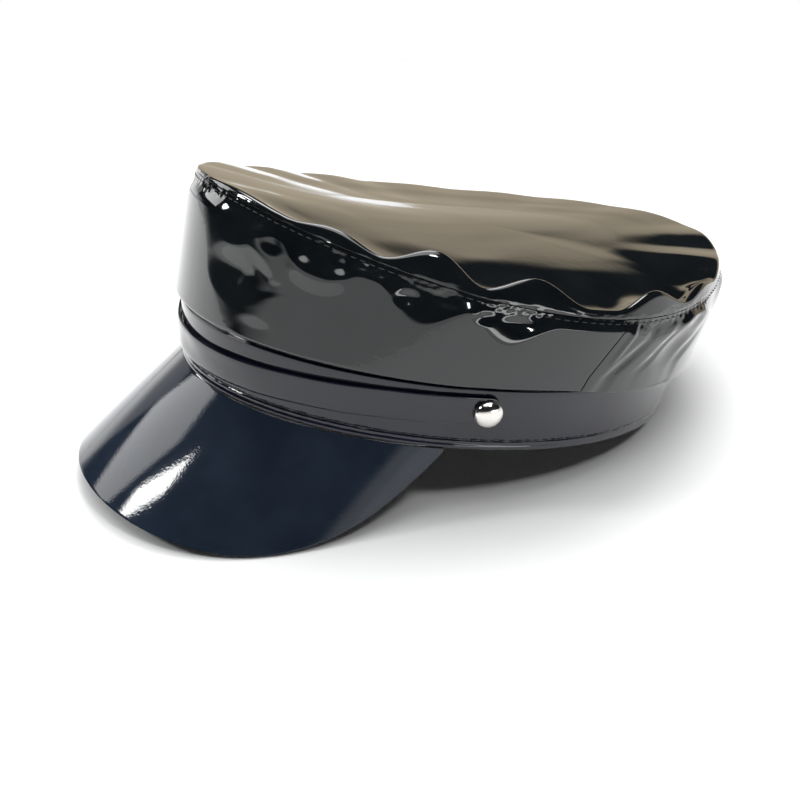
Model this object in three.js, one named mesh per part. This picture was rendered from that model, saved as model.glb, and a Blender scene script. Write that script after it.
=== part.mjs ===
// A baker boy cap in black patent faux leather, in millimetres.
// In the cap's own frame the lower edge of the band lies in the plane z = 0, the peak points to -Y and the
// wearer's left is +X. Angles run round the head from the middle of the front, positive to the wearer's left.
// At the end the whole cap is tilted as it lies on a table: on the rim of its peak and the back of its band.
import * as THREE from 'three';
import { mergeVertices } from 'three/addons/utils/BufferGeometryUtils.js';

// Walls and clearances
const leather = 1.2;
const bandWall = 2.2;
const peakBoard = 2.0;
const gap = 0.3;
const sideSeamGap = 0.5;

// The band fits a head of about 56 cm round. Its oval is narrower in front, and it flares towards the crown.
const headHalfWidth = 82;
const headHalfLength = 101;
const headNarrowFront = 0.06;
const bandHeight = 23.2;
const bandFlare = 0.035;
const edgeRound = 0.6;

// The seam between the side wall and the top is a longer oval, set back, high in front and low at the sides.
const seamHalfWidth = 85;
const seamHalfLength = 113.5;
const seamSetBack = 9.8;
const seamPinch = 0.027;
const seamMidHeight = 49.2;
const seamSlope = -0.066;
const seamSaddle = 0.0012;
const topCentreHeight = 57;

// The peak slopes down steeply and shortens towards the two ends where it is sewn in.
const peakLength = 51.3;
const peakEndLength = 1.2;
const peakEndAngle = 66;
const peakTaper = 3.16;
const peakSlopeFront = 47.5;
const peakSlopeEnd = 88;
const peakBulge = 0.7;

// The strap lies low in front and climbs to a button on each side.
const strapWidth = 10.5;
const strapThick = 1.3;
const strapFrontHeight = 10.5;
const strapButtonHeight = 15.8;
const buttonAngle = 72.5;
const strapTail = 5;
const buttonRadius = 5;
const buttonHeight = 3.9;

// The two panels of the side wall meet in an upright seam on each side, which leans back a little.
const sideSeamFoot = 89;
const sideSeamTop = 93;

// How far the leather of the back is pressed flat where it rests
const restFlat = 0.7;

// Puffs of the top along the seam: where, how far to each side in degrees, and how far they rise
const puffs = [
  { at: 12, reach: 13, rise: 0.8 },
  { at: 35, reach: 10, rise: 2.6 },
  { at: 54.5, reach: 10.5, rise: 6.8 },
  { at: 74, reach: 11.5, rise: 6.4 },
  { at: 102, reach: 11, rise: 5.2 },
  { at: 123, reach: 10, rise: 2.4 },
  { at: 144, reach: 12, rise: 1.5 },
  { at: 166, reach: 13, rise: 1.2 },
  { at: 192, reach: 14, rise: 0.6 },
  { at: 215, reach: 13, rise: 0.5 },
  { at: 237, reach: 13, rise: 0.6 },
  { at: 260, reach: 13, rise: 0.6 },
  { at: 283, reach: 13, rise: 0.8 },
  { at: 304, reach: 13, rise: 0.7 },
  { at: 328, reach: 14, rise: 0.5 },
];

// How far the edge stands up everywhere: at the front and back, on the puffed side and on the calm side
const puffBaseEnds = 1.4;
const puffBasePuffed = 2.4;
const puffBaseCalm = 3.7;

// The stretch of the edge that is puffed: its middle, its half length, and the fade on each side of it
const puffedAt = 76;
const puffedReach = 48;
const puffedFade = 22;

// The section of the top from the seam inwards: how far in, how far more for each millimetre of the puff's
// height, and the share of that height there, where the edge is puffed and where it is calm
const topSection = [
  { inward: 0, lean: 0, puffed: 0, calm: 0 },
  { inward: 0, lean: 0.1, puffed: 0.36, calm: 0.36 },
  { inward: 0.2, lean: 0.32, puffed: 0.86, calm: 0.86 },
  { inward: 1.7, lean: 0.38, puffed: 1, calm: 1 },
  { inward: 4.2, lean: 0.38, puffed: 0.69, calm: 0.96 },
  { inward: 8, lean: 0.34, puffed: 0.28, calm: 0.88 },
  { inward: 14, lean: 0.2, puffed: 0.08, calm: 0.74 },
  { inward: 26, lean: 0, puffed: 0, calm: 0.4 },
  { inward: 50, lean: 0, puffed: 0, calm: 0 },
];

// How evenly the top runs from its edge to its middle: 1 is a straight slope, more is flatter in the middle
const topBowlCalm = 1.05;
const topBowlPuffed = 2.4;
const topBowlSoft = 0.12;

// Behind the puffs the top dips and then climbs to the middle: how deep, and how far in it is deep, starts to
// climb and has climbed.
const topDip = 2.2;
const topDipFoot = 5;
const topDipStart = 7;
const topDipEnd = 42;

// Lobes of the side wall under the puffs, where it starts to lean in to the seam further down
const lobes = [
  { at: 16, reach: 9, drop: 0.1 },
  { at: 34.5, reach: 9, drop: 0.2 },
  { at: 54.5, reach: 9.5, drop: 0.3 },
  { at: 70.5, reach: 9, drop: 0.31 },
  { at: 104, reach: 13, drop: 0.2 },
  { at: 133, reach: 14, drop: 0.24 },
  { at: 163, reach: 14, drop: 0.2 },
  { at: 196, reach: 14, drop: 0.25 },
  { at: 228, reach: 13, drop: 0.22 },
  { at: 262, reach: 13, drop: 0.26 },
  { at: 290, reach: 12, drop: 0.3 },
  { at: 315, reach: 11, drop: 0.24 },
  { at: 341, reach: 12, drop: 0.16 },
];
const kneeLevel = 0.86;

// Dents of the side wall: where, at what share of its height, how far each way, and how deep
const dents = [
  { at: 19, level: 0.5, reach: 12, tall: 0.26, deep: 1.8 },
  { at: 25, level: 0.12, reach: 6, tall: 0.16, deep: 1.0 },
  { at: 112, level: 0.5, reach: 9, tall: 0.4, deep: 1.6 },
  { at: 150, level: 0.45, reach: 11, tall: 0.35, deep: 1.6 },
  { at: 182, level: 0.55, reach: 12, tall: 0.35, deep: 1.4 },
  { at: 214, level: 0.45, reach: 10, tall: 0.35, deep: 1.6 },
  { at: 248, level: 0.5, reach: 10, tall: 0.35, deep: 1.4 },
  { at: 302, level: 0.5, reach: 11, tall: 0.3, deep: 1.4 },
  { at: 336, level: 0.45, reach: 12, tall: 0.28, deep: 1.6 },
];

// The belly of the side wall stands out over the band, a little more at the back, where its foot also sags
// over the band from the sag's start on.
const bellyFront = 2.2;
const bellyBack = 3.6;
const bellyFoot = 0.12;
const footSag = 5;
const sagStart = 75;
const sagFull = 112;
const sideLevels = [0, 0.05, 0.11, 0.22, 0.42, 0.6, 0.74, 0.87, 1];

// Facets
const crownColumns = 90;
const bandColumns = 72;
const peakColumns = 36;
const peakRows = 5;
const strapColumns = 44;
const buttonSides = 16;

const radians = THREE.MathUtils.degToRad;

function smooth(share) {
  const t = THREE.MathUtils.clamp(share, 0, 1);
  return t * t * (3 - 2 * t);
}

// A soft hump: 1 in the middle, 0 from a distance of 1 on
function hump(distance) {
  const d = Math.min(Math.abs(distance), 1);
  return (1 + Math.cos(Math.PI * d)) / 2;
}

function angleBetween(a, b) {
  return THREE.MathUtils.euclideanModulo(a - b + 180, 360) - 180;
}

// The level direction straight out of the head's oval at an angle
function outward(angle) {
  const a = radians(angle);
  const alongX = headHalfWidth * (Math.cos(a) - headNarrowFront * Math.cos(2 * a));
  const alongY = headHalfLength * Math.sin(a);
  return new THREE.Vector3(alongY, -alongX, 0).normalize();
}

function bandPoint(angle, height) {
  const a = radians(angle);
  const grow = 1 + bandFlare * height / bandHeight;
  const narrow = 1 - headNarrowFront * Math.cos(a);
  const x = headHalfWidth * grow * narrow * Math.sin(a);
  return new THREE.Vector3(x, -headHalfLength * grow * Math.cos(a), height);
}

// The direction straight out of the band's leaning face
function bandNormal(angle) {
  const lean = bandFlare * headHalfWidth / bandHeight;
  return outward(angle).setZ(-lean).normalize();
}

function seamPoint(angle) {
  const a = radians(angle);
  const pinch = 1 - seamPinch * Math.sin(2 * a) ** 2;
  const y = seamSetBack - seamHalfLength * pinch * Math.cos(a);
  const height = seamMidHeight + seamSlope * y + seamSaddle * y * y;
  return new THREE.Vector3(seamHalfWidth * pinch * Math.sin(a), y, height);
}

// How much of a side, and of the puffed stretch of the edge, there is at an angle
function sideShare(angle) {
  return Math.sin(radians(angle)) ** 2;
}

function puffedShare(angle) {
  return smooth((puffedReach + puffedFade - Math.abs(angleBetween(angle, puffedAt))) / puffedFade);
}

function puffHeight(angle) {
  const base = THREE.MathUtils.lerp(puffBaseCalm, puffBasePuffed, puffedShare(angle));
  let height = THREE.MathUtils.lerp(puffBaseEnds, base, sideShare(angle));
  for (const puff of puffs) {
    height += puff.rise * hump(angleBetween(angle, puff.at) / puff.reach);
  }
  return height;
}

// The share of the edge's height that is left at a share of the way out from the middle
function edgeShare(angle, left) {
  const puffed = puffedShare(angle) * sideShare(angle);
  const power = THREE.MathUtils.lerp(topBowlCalm, topBowlPuffed, puffed);
  const bowl = (share) => (share * share + topBowlSoft) ** (power / 2);
  return (bowl(left) - bowl(0)) / (bowl(1) - bowl(0));
}

function topPoint(angle, section) {
  const seam = seamPoint(angle);
  const puff = puffHeight(angle);
  const radius = Math.hypot(seam.x, seam.y - seamSetBack);
  const left = 1 - (section.inward + section.lean * puff) / radius;
  const carried = edgeShare(angle, left);
  const point = new THREE.Vector3(0, seamSetBack, 0).lerp(new THREE.Vector3(seam.x, seam.y, 0), left);
  const share = THREE.MathUtils.lerp(section.calm, section.puffed, puffedShare(angle));
  const climb = smooth((section.inward - topDipStart) / (topDipEnd - topDipStart));
  const dip = smooth(section.inward / topDipFoot) * (1 - climb);
  point.z = seam.z * carried + topCentreHeight * (1 - carried) + gap + share * puff;
  point.z -= topDip * dip * puffedShare(angle) * sideShare(angle);
  return point;
}

function bellyDepth(angle) {
  const back = (1 - Math.cos(radians(angle))) / 2;
  return bellyFront + (bellyBack - bellyFront) * back;
}

function kneeOf(angle) {
  let knee = kneeLevel;
  for (const lobe of lobes) {
    knee -= lobe.drop * hump(angleBetween(angle, lobe.at) / lobe.reach);
  }
  return knee;
}

function dentDepth(angle, level) {
  let depth = 0;
  for (const dent of dents) {
    const across = angleBetween(angle, dent.at) / dent.reach;
    depth += dent.deep * hump(Math.hypot(across, (level - dent.level) / dent.tall));
  }
  return depth;
}

// A point of the side wall, from the band at level 0 to the seam at level 1
function sidePoint(angle, level) {
  const foot = bandPoint(angle, bandHeight);
  foot.z += gap;
  const point = foot.lerp(seamPoint(angle), level);
  const knee = kneeOf(angle);
  const swell = smooth(level / bellyFoot) * (1 - smooth((level - knee) / (1 - knee)));
  const stand = bellyDepth(angle) * swell - dentDepth(angle, level);
  const fromFront = Math.abs(angleBetween(angle, 0));
  const sag = footSag * smooth((fromFront - sagStart) / (sagFull - sagStart));
  point.z -= sag * hump((level - bellyFoot) / bellyFoot);
  return point.addScaledVector(outward(angle), stand);
}

function peakSlope(angle) {
  const toEnd = angle / peakEndAngle;
  return radians(peakSlopeFront + (peakSlopeEnd - peakSlopeFront) * toEnd * toEnd);
}

// A point of the peak's upper face, from its seam under the band at reach 0 to its rim at reach 1
function peakPoint(angle, reach) {
  const toEnd = Math.abs(angle) / peakEndAngle;
  const slope = peakSlope(angle);
  const length = peakEndLength + peakLength * (1 - toEnd ** peakTaper);
  const bulge = peakBulge * 4 * reach * (1 - reach) * length / (peakEndLength + peakLength);
  const out = Math.cos(slope) * length * reach + Math.sin(slope) * bulge;
  const point = bandPoint(angle, 0).addScaledVector(outward(angle), out);
  point.z += Math.cos(slope) * bulge - Math.sin(slope) * length * reach - gap;
  return point;
}

// The lower corner of the peak's rim
function peakUnderside(angle) {
  const slope = peakSlope(angle);
  const point = peakPoint(angle, 1).addScaledVector(outward(angle), -Math.sin(slope) * peakBoard);
  point.z -= Math.cos(slope) * peakBoard;
  return point;
}

// The tilt at which the rim of the peak and the back of the band touch one table
function restingTilt() {
  const backY = headHalfLength - edgeRound;
  let tilt = 0;
  for (let angle = 0; angle < peakEndAngle; angle += 0.5) {
    const rim = peakUnderside(angle);
    tilt = Math.max(tilt, Math.atan2(restFlat - rim.z, backY - rim.y));
  }
  return tilt;
}

const tilt = restingTilt();

// The height of the table under the back of the band, in the cap's own frame
function tableHeight(y) {
  return restFlat + (y - headHalfLength + edgeRound) * Math.tan(tilt);
}

// A closed mesh with its faces pointing out, from a list of points and of triangles
function solid(points, triangles) {
  let volume = 0;
  for (const [a, b, c] of triangles) {
    volume += points[a].dot(new THREE.Vector3().crossVectors(points[b], points[c]));
  }
  const order = volume > 0 ? triangles : triangles.map(([a, b, c]) => [a, c, b]);
  const geometry = new THREE.BufferGeometry().setFromPoints(points);
  geometry.setIndex(order.flat());
  return geometry;
}

// Two triangles for each cell of a grid of point numbers
function gridFaces(grid, triangles) {
  for (let i = 0; i + 1 < grid.length; i += 1) {
    for (let j = 0; j + 1 < grid[i].length; j += 1) {
      const corners = [grid[i][j], grid[i + 1][j], grid[i + 1][j + 1], grid[i][j + 1]];
      triangles.push([corners[0], corners[1], corners[2]]);
      triangles.push([corners[0], corners[2], corners[3]]);
    }
  }
}

// A wall of even thickness behind a surface that is given by columns of points
// Each column runs from one free edge to the other, and the wall lies to the inner side.
function wall(columns, normals, thickness, closed) {
  const points = [];
  const face = columns.map((column) => column.map((point) => points.push(point) - 1));
  const back = columns.map((column, i) => column.map((point, j) => (
    points.push(point.clone().addScaledVector(normals[i][j], -thickness)) - 1)));
  const triangles = [];
  const round = (grid) => (closed ? [...grid, grid[0]] : grid);
  gridFaces(round(face), triangles);
  gridFaces(round(back).map((column) => [...column].reverse()), triangles);
  const last = columns[0].length - 1;
  gridFaces(round(face.map((column, i) => [back[i][0], column[0]])), triangles);
  gridFaces(round(face.map((column, i) => [column[last], back[i][last]])), triangles);
  if (!closed) {
    const end = columns.length - 1;
    gridFaces([back[0], face[0]], triangles);
    gridFaces([face[end], back[end]], triangles);
  }
  return solid(points, triangles);
}

// The outer normal of a surface(u, v), worked out from small steps
function normalOf(surface, u, v, vEnd) {
  const step = 0.01;
  const du = surface(u + step, v).sub(surface(u - step, v));
  const low = Math.max(v - step, 0);
  const high = Math.min(v + step, vEnd);
  const dv = surface(u, high).sub(surface(u, low));
  return du.cross(dv).normalize();
}

// A closed ring: one section of [out, up] corners, carried round the band's oval
function ringOf(section, columns, place) {
  const points = [];
  const grid = [];
  for (let i = 0; i < columns; i += 1) {
    const angle = 360 * i / columns;
    grid.push(section.map((corner) => points.push(place(angle, corner)) - 1));
  }
  const loops = [...grid, grid[0]].map((loop) => [...loop, loop[0]]);
  const triangles = [];
  gridFaces(loops, triangles);
  return solid(points, triangles);
}

// Finishes
const patent = { color: 0x0b0b0d, roughness: 0.12, metalness: 0 };
const patentPeak = { color: 0x0a0c12, roughness: 0.1, metalness: 0 };
const silver = { color: 0xc9c7c2, roughness: 0.15, metalness: 1 };

function piece(name, geometry, finish) {
  const mesh = new THREE.Mesh(geometry, new THREE.MeshStandardMaterial(finish));
  mesh.name = name;
  return mesh;
}

// Crown

function sidePanel(name, startAngle, endAngle) {
  const count = Math.round(crownColumns * (endAngle(0) - startAngle(0)) / 360);
  const surface = (u, level) => {
    const share = u / count;
    return sidePoint(startAngle(level) * (1 - share) + endAngle(level) * share, level);
  };
  const columns = [];
  const normals = [];
  for (let i = 0; i <= count; i += 1) {
    columns.push(sideLevels.map((level) => surface(i, level)));
    normals.push(sideLevels.map((level) => normalOf(surface, i, level, 1)));
  }
  return piece(name, wall(columns, normals, leather, false), patent);
}

function crownSides() {
  const halfGap = THREE.MathUtils.radToDeg(sideSeamGap / 2 / headHalfLength);
  const seamAngle = (level) => sideSeamFoot + (sideSeamTop - sideSeamFoot) * level;
  const front = (level) => seamAngle(level) - halfGap;
  const rear = (level) => seamAngle(level) + halfGap;
  const sides = new THREE.Group();
  sides.add(sidePanel('crown_side_front', (level) => -front(level), front));
  sides.add(sidePanel('crown_side_rear', rear, (level) => 360 - rear(level)));
  return sides;
}

// The top is a shell of rings of points, which shrink from the seam to one point in the middle.
function crownTop() {
  const rows = topSection.length;
  const surface = (u, v) => {
    const row = Math.min(Math.floor(v), rows - 2);
    const between = (key) => THREE.MathUtils.lerp(topSection[row][key], topSection[row + 1][key], v - row);
    const section = {
      inward: between('inward'), lean: between('lean'), puffed: between('puffed'), calm: between('calm'),
    };
    return topPoint(360 * u / crownColumns, section);
  };
  // Its lower edge is cut parallel to the edge of the side wall, and its underside stays clear of that edge.
  const normal = (i, j) => (
    j === 0 ? normalOf(sidePoint, 360 * i / crownColumns, 1, 1) : normalOf(surface, i, j, rows - 1));
  const points = [];
  const face = [];
  const back = [];
  for (let i = 0; i < crownColumns; i += 1) {
    const column = topSection.map((_, j) => surface(i, j));
    const under = column.map((point, j) => point.clone().addScaledVector(normal(i, j), -leather));
    for (const point of under.slice(1, 4)) {
      point.z = Math.max(point.z, column[0].z);
    }
    face.push(column.map((point) => points.push(point) - 1));
    back.push(under.map((point) => points.push(point) - 1));
  }
  const topMiddle = points.push(new THREE.Vector3(0, seamSetBack, topCentreHeight + gap)) - 1;
  const underMiddle = points.push(points[topMiddle].clone().setZ(topCentreHeight + gap - leather)) - 1;
  const triangles = [];
  gridFaces([...face, face[0]], triangles);
  gridFaces([...back, back[0]].map((column) => [...column].reverse()), triangles);
  const edge = face.map((column, i) => [back[i][0], column[0]]);
  gridFaces([...edge, edge[0]], triangles);
  for (let i = 0; i < crownColumns; i += 1) {
    const next = (i + 1) % crownColumns;
    triangles.push([face[i][rows - 1], face[next][rows - 1], topMiddle]);
    triangles.push([back[next][rows - 1], back[i][rows - 1], underMiddle]);
  }
  return piece('crown_top', solid(points, triangles), patent);
}

// Band, with its lower edge pressed flat where it rests on the table
function bandRing() {
  const r = edgeRound;
  const section = [
    [-r, 0], [0, r], [0, bandHeight / 2], [0, bandHeight - r], [-r, bandHeight],
    [r - bandWall, bandHeight], [-bandWall, bandHeight - r], [-bandWall, r], [r - bandWall, 0],
  ];
  const place = (angle, [out, up]) => {
    const point = bandPoint(angle, up).addScaledVector(outward(angle), out);
    point.z = Math.max(point.z, tableHeight(point.y));
    return point;
  };
  return piece('band', ringOf(section, bandColumns, place), patent);
}

// Strap, laid round the front of the band, with round ends
function strap() {
  const endAngle = buttonAngle + THREE.MathUtils.radToDeg(strapTail / headHalfLength);
  const halfWidth = strapWidth / 2;
  const lift = gap + strapThick;
  const columns = [];
  const normals = [];
  for (let i = 0; i <= strapColumns; i += 1) {
    // The columns stand closer together towards the round ends.
    const angle = endAngle * Math.sin(Math.PI / 2 * (2 * i / strapColumns - 1));
    const climb = smooth(Math.abs(angle) / (buttonAngle + 2));
    const middle = strapFrontHeight + (strapButtonHeight - strapFrontHeight) * climb;
    const toTip = radians(endAngle - Math.abs(angle)) * headHalfLength;
    const cut = 1 - Math.min(toTip / halfWidth, 1);
    const half = halfWidth * Math.max(Math.sqrt(1 - cut * cut), 0.25);
    const out = bandNormal(angle);
    columns.push([-half, 0, half].map((up) => bandPoint(angle, middle + up).addScaledVector(out, lift)));
    normals.push([out, out, out]);
  }
  return piece('strap', wall(columns, normals, strapThick, false), patent);
}

// Button: a low dome with a small foot, its axis straight out of the band's face
function button(name, angle) {
  const foot = 0.7;
  const profile = [new THREE.Vector2(0, 0), new THREE.Vector2(buttonRadius - 0.5, 0)];
  for (let i = 0; i < 5; i += 1) {
    const a = radians(90 * i / 5);
    profile.push(new THREE.Vector2(buttonRadius * Math.cos(a), foot + (buttonHeight - foot) * Math.sin(a)));
  }
  profile.push(new THREE.Vector2(0, buttonHeight));
  const dome = new THREE.LatheGeometry(profile, buttonSides);
  dome.deleteAttribute('normal');
  dome.deleteAttribute('uv');
  const mesh = piece(name, mergeVertices(dome, 1e-4), silver);
  const out = bandNormal(angle);
  mesh.quaternion.setFromUnitVectors(new THREE.Vector3(0, 1, 0), out);
  mesh.position.copy(bandPoint(angle, strapButtonHeight).addScaledVector(out, strapThick + 2 * gap));
  return mesh;
}

// Peak
function peak() {
  const surface = (u, v) => peakPoint(u * 2 * peakEndAngle / peakColumns - peakEndAngle, v / peakRows);
  const columns = [];
  const normals = [];
  for (let i = 0; i <= peakColumns; i += 1) {
    const column = [];
    const normal = [];
    const inside = THREE.MathUtils.clamp(i, 1, peakColumns - 1);
    for (let j = 0; j <= peakRows; j += 1) {
      column.push(surface(i, j));
      normal.push(normalOf(surface, inside, j, peakRows).negate());
    }
    columns.push(column);
    normals.push(normal);
  }
  return piece('peak', wall(columns, normals, peakBoard, false), patentPeak);
}

// The cap in its own frame
const crown = new THREE.Group();
crown.add(crownTop(), crownSides());
const headband = new THREE.Group();
headband.add(bandRing(), strap(), button('button_left', buttonAngle), button('button_right', -buttonAngle));
const upright = new THREE.Group();
upright.add(crown, headband, peak());

// The cap as it lies, with the middle of its box over the origin and its lowest point at z = 0
upright.rotation.x = -tilt;
const cap = new THREE.Group();
cap.add(upright);
cap.updateMatrixWorld(true);
const bounds = new THREE.Box3().setFromObject(cap, true);
const middle = bounds.getCenter(new THREE.Vector3());
upright.position.set(-middle.x, -middle.y, -bounds.min.z);

export default cap;
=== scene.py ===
import math

import bpy
import numpy as np
from mathutils import Matrix, Quaternion, Vector


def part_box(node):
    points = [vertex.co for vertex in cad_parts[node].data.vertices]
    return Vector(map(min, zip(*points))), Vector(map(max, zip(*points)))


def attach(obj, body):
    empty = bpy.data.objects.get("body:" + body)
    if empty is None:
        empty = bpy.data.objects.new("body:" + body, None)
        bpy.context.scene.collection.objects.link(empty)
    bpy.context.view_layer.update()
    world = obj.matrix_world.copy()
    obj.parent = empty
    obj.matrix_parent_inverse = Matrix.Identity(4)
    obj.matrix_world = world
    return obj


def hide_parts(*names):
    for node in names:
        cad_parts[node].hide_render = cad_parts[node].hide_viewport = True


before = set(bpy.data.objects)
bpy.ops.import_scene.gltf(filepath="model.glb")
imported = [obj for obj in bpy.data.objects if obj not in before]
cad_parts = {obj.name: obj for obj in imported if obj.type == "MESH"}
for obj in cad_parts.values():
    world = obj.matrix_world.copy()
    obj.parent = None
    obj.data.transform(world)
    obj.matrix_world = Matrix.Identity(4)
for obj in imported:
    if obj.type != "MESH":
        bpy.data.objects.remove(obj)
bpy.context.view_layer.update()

# A baker boy cap in black patent faux leather, as it lies on a table
# Sizes are in millimetres in the cap's own frame: the lower edge of the band lies in the plane z = 0, the
# peak points to -Y and the wearer's left is +X. Angles run round the head from the middle of the front,
# in degrees, positive to the wearer's left. The finished pieces are laid on the table and stored in metres.

MM = 0.001

# Walls and clearances
leather = 1.2
peak_board = 2.0
band_wall = 2.2
gap = 0.3
side_seam_gap = 0.5

# Band
head_half_width = 82
head_half_length = 101
head_narrow_front = 0.06
band_height = 23.2
band_flare = 0.035
hem_line = 3.7
hem_groove = 0.5
hem_roll = 0.5

# The seam between the side wall and the top
seam_half_width = 85
seam_half_length = 113.5
seam_set_back = 9.8
seam_pinch = 0.027
seam_mid_height = 49.2
seam_slope = -0.066
seam_saddle = 0.0012
top_centre_height = 57

# Peak
peak_length = 51.3
peak_end_length = 1.2
peak_end_angle = 66
peak_taper = 3.16
peak_slope_front = 47.5
peak_slope_end = 88
peak_bulge = 0.7

# Strap and buttons
strap_width = 10.5
strap_thick = 1.3
strap_front_height = 10.5
strap_button_height = 15.8
button_angle = 72.5
strap_tail = 5
strap_edge = 0.95
button_radius = 5
button_height = 3.9
button_foot = 0.7

# The upright seams of the side wall lean back a little, with a low ridge of turned-in leather beside them.
side_seam_foot = 89
side_seam_top = 93
seam_ridge = 0.4
seam_ridge_off = 5
seam_ridge_half = 2

# Stitches, and the puckers and crumples that they draw into the leather
stitch_pitch = 3.2
stitch_length = 2.3
thread_thick = 0.4
thread_proud = 0.12
seam_stitch_drop = 1.1
crown_seam_stitches = 198
hem_stitches = 186
side_pucker = 0.3
top_pucker = 0.22
hem_crumple = 0.2
strap_wave = 0.35

# How far the leather of the back is pressed flat where it rests
rest_flat = 0.7
edge_round = 0.6

# Puffs of the top along the seam: where, how far to each side in degrees, and how far they rise
puffs = [
    {"at": 12, "reach": 13, "rise": 0.8},
    {"at": 35, "reach": 10, "rise": 2.6},
    {"at": 54.5, "reach": 10.5, "rise": 6.8},
    {"at": 74, "reach": 11.5, "rise": 6.4},
    {"at": 102, "reach": 11, "rise": 5.2},
    {"at": 123, "reach": 10, "rise": 2.4},
    {"at": 144, "reach": 12, "rise": 1.5},
    {"at": 166, "reach": 13, "rise": 1.2},
    {"at": 192, "reach": 14, "rise": 0.6},
    {"at": 215, "reach": 13, "rise": 0.5},
    {"at": 237, "reach": 13, "rise": 0.6},
    {"at": 260, "reach": 13, "rise": 0.6},
    {"at": 283, "reach": 13, "rise": 0.8},
    {"at": 304, "reach": 13, "rise": 0.7},
    {"at": 328, "reach": 14, "rise": 0.5},
]
# The edge stands up a little everywhere: at the front and back, on the puffed side and on the calm side
puff_base_ends = 1.4
puff_base_puffed = 2.4
puff_base_calm = 3.7

# The section of the top: the share of the rows up to there, how far in from the seam, how far more for
# each millimetre of the puff's height, and the share of that height there, where it is puffed and where calm
top_section = [
    {"row": 0.0, "inward": 0.0, "lean": 0.0, "puffed": 0.0, "calm": 0.0},
    {"row": 0.07, "inward": 0.0, "lean": 0.03, "puffed": 0.18, "calm": 0.18},
    {"row": 0.14, "inward": 0.0, "lean": 0.11, "puffed": 0.4, "calm": 0.4},
    {"row": 0.2, "inward": 0.0, "lean": 0.21, "puffed": 0.64, "calm": 0.64},
    {"row": 0.25, "inward": 0.1, "lean": 0.3, "puffed": 0.83, "calm": 0.83},
    {"row": 0.29, "inward": 0.45, "lean": 0.36, "puffed": 0.94, "calm": 0.94},
    {"row": 0.33, "inward": 1.0, "lean": 0.38, "puffed": 0.99, "calm": 0.99},
    {"row": 0.365, "inward": 1.7, "lean": 0.38, "puffed": 1.0, "calm": 1.0},
    {"row": 0.4, "inward": 2.5, "lean": 0.38, "puffed": 0.93, "calm": 0.99},
    {"row": 0.44, "inward": 3.7, "lean": 0.38, "puffed": 0.76, "calm": 0.97},
    {"row": 0.48, "inward": 5.3, "lean": 0.37, "puffed": 0.54, "calm": 0.94},
    {"row": 0.53, "inward": 8.0, "lean": 0.34, "puffed": 0.28, "calm": 0.88},
    {"row": 0.59, "inward": 12.0, "lean": 0.25, "puffed": 0.11, "calm": 0.79},
    {"row": 0.66, "inward": 18.0, "lean": 0.12, "puffed": 0.03, "calm": 0.65},
    {"row": 0.75, "inward": 29.0, "lean": 0.0, "puffed": 0.0, "calm": 0.32},
    {"row": 0.87, "inward": 48.0, "lean": 0.0, "puffed": 0.0, "calm": 0.0},
]
# The stretch of the edge that is puffed: its middle, its half length, and the fade on each side of it
puffed_at = 76
puffed_reach = 48
puffed_fade = 22
# How evenly the top runs from its edge to its middle: 1 is a straight slope, more is flatter in the middle
top_bowl_calm = 1.05
top_bowl_puffed = 2.4
top_bowl_soft = 0.12
# Behind the puffs the top dips and then climbs to the middle: how deep, and how far in it is deep, starts to
# climb and has climbed.
top_dip = 2.2
top_dip_foot = 5
top_dip_start = 7
top_dip_end = 42

# Lobes of the side wall under the puffs, where it starts to lean in to the seam further down
lobes = [
    {"at": 16, "reach": 9, "drop": 0.1},
    {"at": 34.5, "reach": 9, "drop": 0.2},
    {"at": 54.5, "reach": 9.5, "drop": 0.3},
    {"at": 70.5, "reach": 9, "drop": 0.31},
    {"at": 104, "reach": 13, "drop": 0.2},
    {"at": 133, "reach": 14, "drop": 0.24},
    {"at": 163, "reach": 14, "drop": 0.2},
    {"at": 196, "reach": 14, "drop": 0.25},
    {"at": 228, "reach": 13, "drop": 0.22},
    {"at": 262, "reach": 13, "drop": 0.26},
    {"at": 290, "reach": 12, "drop": 0.3},
    {"at": 315, "reach": 11, "drop": 0.24},
    {"at": 341, "reach": 12, "drop": 0.16},
]
knee_level = 0.86

# Dents of the side wall: where, at what share of its height, how far each way, and how deep
dents = [
    {"at": 19, "level": 0.5, "reach": 12, "tall": 0.26, "deep": 1.0},
    {"at": 25, "level": 0.12, "reach": 7, "tall": 0.16, "deep": 0.25},
    {"at": 112, "level": 0.5, "reach": 9, "tall": 0.4, "deep": 1.6},
    {"at": 150, "level": 0.45, "reach": 11, "tall": 0.35, "deep": 1.6},
    {"at": 182, "level": 0.55, "reach": 12, "tall": 0.35, "deep": 1.4},
    {"at": 214, "level": 0.45, "reach": 10, "tall": 0.35, "deep": 1.6},
    {"at": 248, "level": 0.5, "reach": 10, "tall": 0.35, "deep": 1.4},
    {"at": 302, "level": 0.5, "reach": 11, "tall": 0.3, "deep": 1.4},
    {"at": 336, "level": 0.45, "reach": 12, "tall": 0.28, "deep": 1.6},
]

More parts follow.
